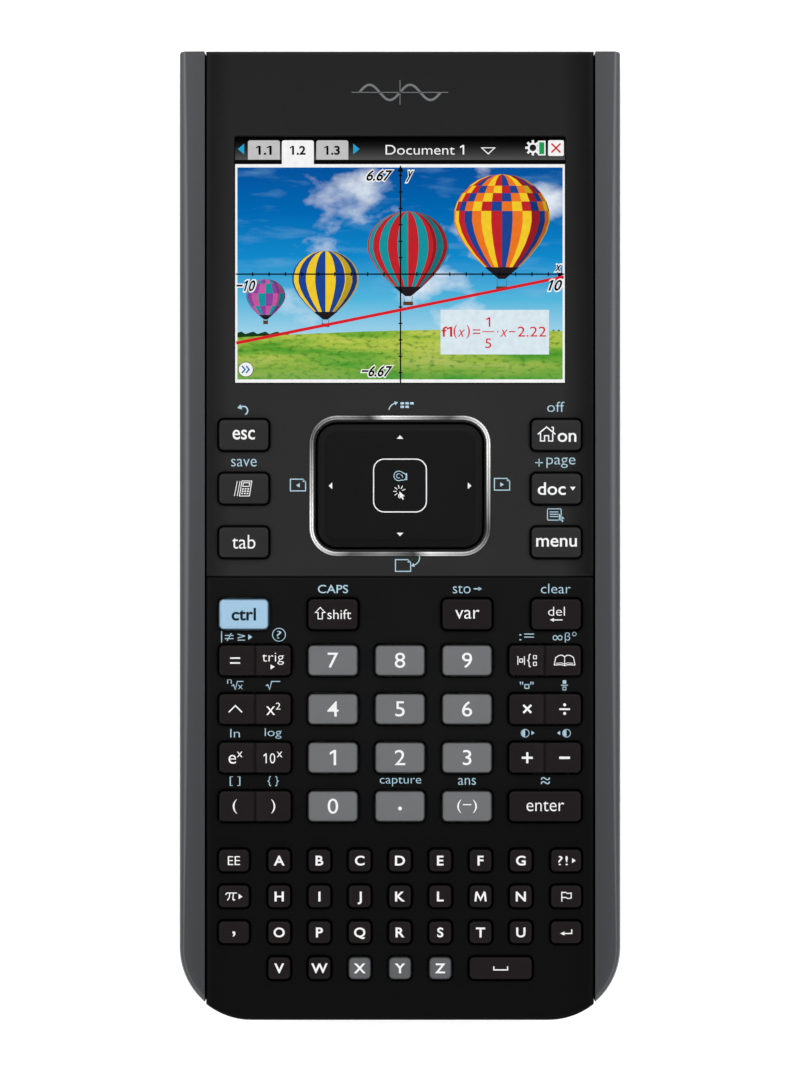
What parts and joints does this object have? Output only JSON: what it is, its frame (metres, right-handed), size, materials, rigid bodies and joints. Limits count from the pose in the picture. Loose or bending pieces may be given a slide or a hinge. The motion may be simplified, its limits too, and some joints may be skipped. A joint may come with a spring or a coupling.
{
  "type": "graphing calculator",
  "caption": "Handheld graphing calculator with colour screen, tilting touchpad, sprung keys, double rocker keys and a letter keypad between side rails.",
  "frame": {"origin": "on the table under the centre of the body, the calculator lying on its back on its rubber feet", "axes": "+X right, +Y to the screen end, +Z out of the keys"},
  "size_m": [0.087, 0.191, 0.0155],
  "materials": {
    "charcoal_shell": "fine matt grain",
    "screen_cover": "fine matt grain",
    "keypad_cover": "fine matt grain",
    "rail_grey": "satin grey paint",
    "black_plastic": "matt",
    "key_dark": "satin, printed legend",
    "key_charcoal": "satin, printed legend",
    "key_grey": "satin, printed legend",
    "key_blue": "satin, printed legend",
    "screw_steel": "zinc plated",
    "foot_rubber": "matt",
    "cell_wrap": "shrink wrap",
    "lead_white": "insulated leads and plug",
    "board_green": "solder mask",
    "chip_black": "moulded packages",
    "silicone_grey": "silicone",
    "window_clear": "gloss",
    "screen_glass": "screen glass, lit from behind",
    "backlight_white": "satin",
    "flex_amber": "film",
    "ring_chrome": "polished",
    "pad_black": "smooth satin",
    "shell_metal": "folded sheet"
  },
  "bodies": {
    "housing": {"front_frame": "black_plastic", "screen_faceplate": "screen_cover", "keypad_faceplate": "keypad_cover", "left_rail": "rail_grey", "right_rail": "rail_grey", "rear_housing": "charcoal_shell", "battery_door": "charcoal_shell", "battery_door_screws": "screw_steel", "case_screws": "screw_steel", "rubber_feet": "foot_rubber", "battery_pack": "cell_wrap", "battery_lead": "lead_white", "main_board": "board_green", "board_components": "chip_black", "key_mat": "silicone_grey", "display_window": "window_clear", "lcd_panel": "screen_glass", "backlight_frame": "backlight_white", "lcd_flex": "flex_amber", "touchpad_ring": "ring_chrome", "usb_socket": "shell_metal"},
    "esc_key": {"esc_key": "key_charcoal"},
    "scratchpad_key": {"scratchpad_key": "key_charcoal"},
    "tab_key": {"tab_key": "key_charcoal"},
    "home_key": {"home_key": "key_charcoal"},
    "doc_key": {"doc_key": "key_charcoal"},
    "menu_key": {"menu_key": "key_charcoal"},
    "ctrl_key": {"ctrl_key": "key_blue"},
    "shift_key": {"shift_key": "key_dark"},
    "var_key": {"var_key": "key_dark"},
    "delete_key": {"delete_key": "key_dark"},
    "digit_0": {"digit_0": "key_grey"},
    "digit_1": {"digit_1": "key_grey"},
    "digit_2": {"digit_2": "key_grey"},
    "digit_3": {"digit_3": "key_grey"},
    "digit_4": {"digit_4": "key_grey"},
    "digit_5": {"digit_5": "key_grey"},
    "digit_6": {"digit_6": "key_grey"},
    "digit_7": {"digit_7": "key_grey"},
    "digit_8": {"digit_8": "key_grey"},
    "digit_9": {"digit_9": "key_grey"},
    "point_key": {"point_key": "key_grey"},
    "negate_key": {"negate_key": "key_grey"},
    "enter_key": {"enter_key": "key_dark"},
    "space_key": {"space_key": "key_dark"},
    "letter_row_1": {"letter_row_1": "key_dark"},
    "letter_row_2": {"letter_row_2": "key_dark"},
    "letter_row_3": {"letter_row_3": "key_dark"},
    "letter_row_4": {"letter_row_4": "key_dark"},
    "equals_trig_rocker": {"equals_trig_rocker": "key_dark"},
    "power_square_rocker": {"power_square_rocker": "key_dark"},
    "exponent_rocker": {"exponent_rocker": "key_dark"},
    "bracket_rocker": {"bracket_rocker": "key_dark"},
    "template_catalog_rocker": {"template_catalog_rocker": "key_dark"},
    "times_divide_rocker": {"times_divide_rocker": "key_dark"},
    "plus_minus_rocker": {"plus_minus_rocker": "key_dark"},
    "touchpad_carrier": {"touchpad_carrier": "shell_metal"},
    "touchpad_gimbal": {"touchpad_gimbal": "black_plastic"},
    "touchpad_cap": {"touchpad_cap": "pad_black"},
    "reset_button": {"reset_button": "black_plastic"}
  },
  "joints": [
    {"name": "esc_key_press", "type": "slide", "parent": "housing", "child": "esc_key", "axis": [0, 0, -1], "range_m": [0, 0.0008], "stiffness_N_per_m": 600, "springref_m": -0.0004},
    {"name": "scratchpad_key_press", "type": "slide", "parent": "housing", "child": "scratchpad_key", "axis": [0, 0, -1], "range_m": [0, 0.0008], "stiffness_N_per_m": 600, "springref_m": -0.0004},
    {"name": "tab_key_press", "type": "slide", "parent": "housing", "child": "tab_key", "axis": [0, 0, -1], "range_m": [0, 0.0008], "stiffness_N_per_m": 600, "springref_m": -0.0004},
    {"name": "home_key_press", "type": "slide", "parent": "housing", "child": "home_key", "axis": [0, 0, -1], "range_m": [0, 0.0008], "stiffness_N_per_m": 600, "springref_m": -0.0004},
    {"name": "doc_key_press", "type": "slide", "parent": "housing", "child": "doc_key", "axis": [0, 0, -1], "range_m": [0, 0.0008], "stiffness_N_per_m": 600, "springref_m": -0.0004},
    {"name": "menu_key_press", "type": "slide", "parent": "housing", "child": "menu_key", "axis": [0, 0, -1], "range_m": [0, 0.0008], "stiffness_N_per_m": 600, "springref_m": -0.0004},
    {"name": "ctrl_key_press", "type": "slide", "parent": "housing", "child": "ctrl_key", "axis": [0, 0, -1], "range_m": [0, 0.0008], "stiffness_N_per_m": 600, "springref_m": -0.0004},
    {"name": "shift_key_press", "type": "slide", "parent": "housing", "child": "shift_key", "axis": [0, 0, -1], "range_m": [0, 0.0008], "stiffness_N_per_m": 600, "springref_m": -0.0004},
    {"name": "var_key_press", "type": "slide", "parent": "housing", "child": "var_key", "axis": [0, 0, -1], "range_m": [0, 0.0008], "stiffness_N_per_m": 600, "springref_m": -0.0004},
    {"name": "delete_key_press", "type": "slide", "parent": "housing", "child": "delete_key", "axis": [0, 0, -1], "range_m": [0, 0.0008], "stiffness_N_per_m": 600, "springref_m": -0.0004},
    {"name": "digit_0_press", "type": "slide", "parent": "housing", "child": "digit_0", "axis": [0, 0, -1], "range_m": [0, 0.0008], "stiffness_N_per_m": 600, "springref_m": -0.0004},
    {"name": "digit_1_press", "type": "slide", "parent": "housing", "child": "digit_1", "axis": [0, 0, -1], "range_m": [0, 0.0008], "stiffness_N_per_m": 600, "springref_m": -0.0004},
    {"name": "digit_2_press", "type": "slide", "parent": "housing", "child": "digit_2", "axis": [0, 0, -1], "range_m": [0, 0.0008], "stiffness_N_per_m": 600, "springref_m": -0.0004},
    {"name": "digit_3_press", "type": "slide", "parent": "housing", "child": "digit_3", "axis": [0, 0, -1], "range_m": [0, 0.0008], "stiffness_N_per_m": 600, "springref_m": -0.0004},
    {"name": "digit_4_press", "type": "slide", "parent": "housing", "child": "digit_4", "axis": [0, 0, -1], "range_m": [0, 0.0008], "stiffness_N_per_m": 600, "springref_m": -0.0004},
    {"name": "digit_5_press", "type": "slide", "parent": "housing", "child": "digit_5", "axis": [0, 0, -1], "range_m": [0, 0.0008], "stiffness_N_per_m": 600, "springref_m": -0.0004},
    {"name": "digit_6_press", "type": "slide", "parent": "housing", "child": "digit_6", "axis": [0, 0, -1], "range_m": [0, 0.0008], "stiffness_N_per_m": 600, "springref_m": -0.0004},
    {"name": "digit_7_press", "type": "slide", "parent": "housing", "child": "digit_7", "axis": [0, 0, -1], "range_m": [0, 0.0008], "stiffness_N_per_m": 600, "springref_m": -0.0004},
    {"name": "digit_8_press", "type": "slide", "parent": "housing", "child": "digit_8", "axis": [0, 0, -1], "range_m": [0, 0.0008], "stiffness_N_per_m": 600, "springref_m": -0.0004},
    {"name": "digit_9_press", "type": "slide", "parent": "housing", "child": "digit_9", "axis": [0, 0, -1], "range_m": [0, 0.0008], "stiffness_N_per_m": 600, "springref_m": -0.0004},
    {"name": "point_key_press", "type": "slide", "parent": "housing", "child": "point_key", "axis": [0, 0, -1], "range_m": [0, 0.0008], "stiffness_N_per_m": 600, "springref_m": -0.0004},
    {"name": "negate_key_press", "type": "slide", "parent": "housing", "child": "negate_key", "axis": [0, 0, -1], "range_m": [0, 0.0008], "stiffness_N_per_m": 600, "springref_m": -0.0004},
    {"name": "enter_key_press", "type": "slide", "parent": "housing", "child": "enter_key", "axis": [0, 0, -1], "range_m": [0, 0.0008], "stiffness_N_per_m": 600, "springref_m": -0.0004},
    {"name": "space_key_press", "type": "slide", "parent": "housing", "child": "space_key", "axis": [0, 0, -1], "range_m": [0, 0.0008], "stiffness_N_per_m": 600, "springref_m": -0.0004},
    {"name": "letter_row_1_press", "type": "slide", "parent": "housing", "child": "letter_row_1", "axis": [0, 0, -1], "range_m": [0, 0.0008], "stiffness_N_per_m": 900, "springref_m": -0.0004},
    {"name": "letter_row_2_press", "type": "slide", "parent": "housing", "child": "letter_row_2", "axis": [0, 0, -1], "range_m": [0, 0.0008], "stiffness_N_per_m": 900, "springref_m": -0.0004},
    {"name": "letter_row_3_press", "type": "slide", "parent": "housing", "child": "letter_row_3", "axis": [0, 0, -1], "range_m": [0, 0.0008], "stiffness_N_per_m": 900, "springref_m": -0.0004},
    {"name": "letter_row_4_press", "type": "slide", "parent": "housing", "child": "letter_row_4", "axis": [0, 0, -1], "range_m": [0, 0.0008], "stiffness_N_per_m": 900, "springref_m": -0.0004},
    {"name": "equals_trig_rocker_rock", "type": "hinge", "parent": "housing", "child": "equals_trig_rocker", "pos_m": [-0.02855, -0.0246, 0.0117], "axis": [0, 1, 0], "range_deg": [-5, 5], "stiffness_Nm_per_rad": 0.012},
    {"name": "power_square_rocker_rock", "type": "hinge", "parent": "housing", "child": "power_square_rocker", "pos_m": [-0.02855, -0.03417, 0.0117], "axis": [0, 1, 0], "range_deg": [-5, 5], "stiffness_Nm_per_rad": 0.012},
    {"name": "exponent_rocker_rock", "type": "hinge", "parent": "housing", "child": "exponent_rocker", "pos_m": [-0.02855, -0.04374, 0.0117], "axis": [0, 1, 0], "range_deg": [-5, 5], "stiffness_Nm_per_rad": 0.012},
    {"name": "bracket_rocker_rock", "type": "hinge", "parent": "housing", "child": "bracket_rocker", "pos_m": [-0.02855, -0.05331, 0.0117], "axis": [0, 1, 0], "range_deg": [-5, 5], "stiffness_Nm_per_rad": 0.012},
    {"name": "template_catalog_rocker_rock", "type": "hinge", "parent": "housing", "child": "template_catalog_rocker", "pos_m": [0.02855, -0.0246, 0.0117], "axis": [0, 1, 0], "range_deg": [-5, 5], "stiffness_Nm_per_rad": 0.012},
    {"name": "times_divide_rocker_rock", "type": "hinge", "parent": "housing", "child": "times_divide_rocker", "pos_m": [0.02855, -0.03417, 0.0117], "axis": [0, 1, 0], "range_deg": [-5, 5], "stiffness_Nm_per_rad": 0.012},
    {"name": "plus_minus_rocker_rock", "type": "hinge", "parent": "housing", "child": "plus_minus_rocker", "pos_m": [0.02855, -0.04374, 0.0117], "axis": [0, 1, 0], "range_deg": [-5, 5], "stiffness_Nm_per_rad": 0.012},
    {"name": "touchpad_click", "type": "slide", "parent": "housing", "child": "touchpad_carrier", "axis": [0, 0, -1], "range_m": [0, 0.0004], "stiffness_N_per_m": 1500, "springref_m": -0.0002},
    {"name": "touchpad_tilt_up_down", "type": "hinge", "parent": "touchpad_carrier", "child": "touchpad_gimbal", "pos_m": [0, 0.0098, 0.0114], "axis": [1, 0, 0], "range_deg": [-1.2, 1.2], "stiffness_Nm_per_rad": 0.08},
    {"name": "touchpad_tilt_left_right", "type": "hinge", "parent": "touchpad_gimbal", "child": "touchpad_cap", "pos_m": [0, 0.0098, 0.0114], "axis": [0, 1, 0], "range_deg": [-1.2, 1.2], "stiffness_Nm_per_rad": 0.08},
    {"name": "reset_press", "type": "slide", "parent": "housing", "child": "reset_button", "axis": [0, 0, 1], "range_m": [0, 0.0003], "stiffness_N_per_m": 600, "springref_m": -0.0004}
  ]
}
